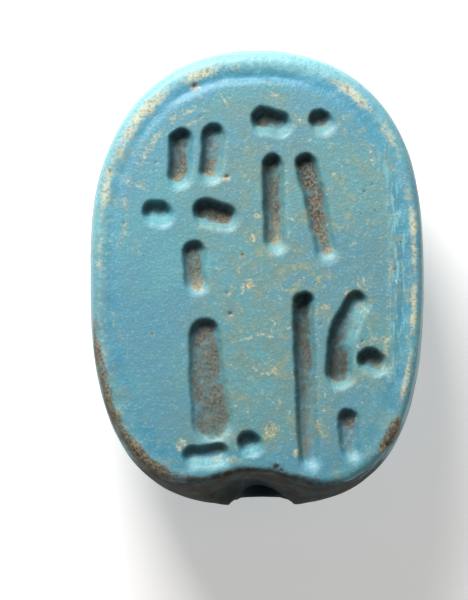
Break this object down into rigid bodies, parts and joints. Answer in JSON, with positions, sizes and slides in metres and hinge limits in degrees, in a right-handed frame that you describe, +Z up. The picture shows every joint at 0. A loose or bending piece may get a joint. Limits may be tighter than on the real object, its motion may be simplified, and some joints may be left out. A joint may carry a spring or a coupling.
{
  "type": "scaraboid bead",
  "caption": "Oval faience bead with a domed back, a string hole along its length and a flat face carved with plain strokes inside a border line.",
  "frame": {"origin": "middle of the bounding box in plan, at the height of the small flat on the domed back that it lies on", "axes": "+Z up through the carved face; +Y along the bead, towards the end without the worn hollow; +X across the face, to the right as the picture shows it"},
  "size_m": [0.011, 0.015, 0.0064],
  "materials": {
    "glaze": "worn turquoise faience glaze, satin, with brown dirt in the recesses"
  },
  "bodies": {
    "root": {"scaraboid": "glaze"}
  },
  "joints": []
}
